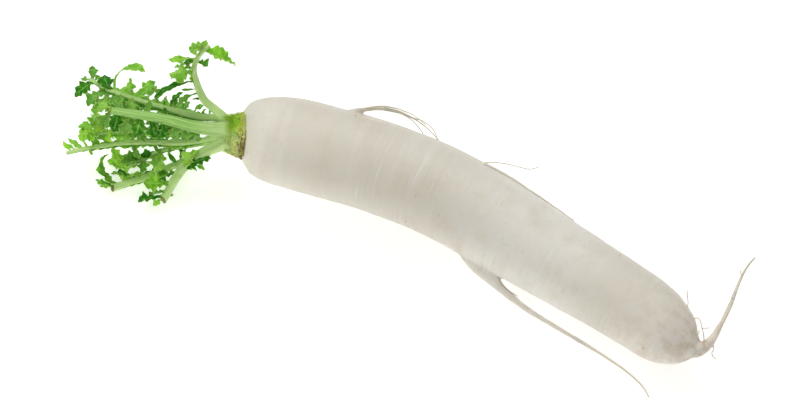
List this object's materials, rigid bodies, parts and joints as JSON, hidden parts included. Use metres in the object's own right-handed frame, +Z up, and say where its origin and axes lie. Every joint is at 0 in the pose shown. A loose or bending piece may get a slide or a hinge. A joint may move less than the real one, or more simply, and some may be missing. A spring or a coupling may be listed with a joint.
{
  "type": "daikon radish",
  "caption": "Long white bent taproot lying on its side, with a whip-like tail, thin side roots, a short green crown and cut-back toothed leaves.",
  "frame": {"origin": "on the small flat that the taproot rests on, under the middle of its length", "axes": "+X from the crown to the tip of the root, +Z up with the root lying on its side, +Y away from the long side root"},
  "size_m": [0.5244, 0.1523, 0.1026],
  "materials": {
    "root_skin": "satin, slightly waxy",
    "crown": "matt, fibrous",
    "leaf": "satin"
  },
  "bodies": {
    "root": {"taproot": "root_skin", "crown": "crown", "leaf_arched": "leaf", "leaf_back_long": "leaf", "leaf_cut_low": "leaf", "leaf_cut_short": "leaf", "leaf_cut_top": "leaf", "leaf_front_long": "leaf", "leaf_inner": "leaf", "leaf_middle": "leaf"}
  },
  "joints": []
}
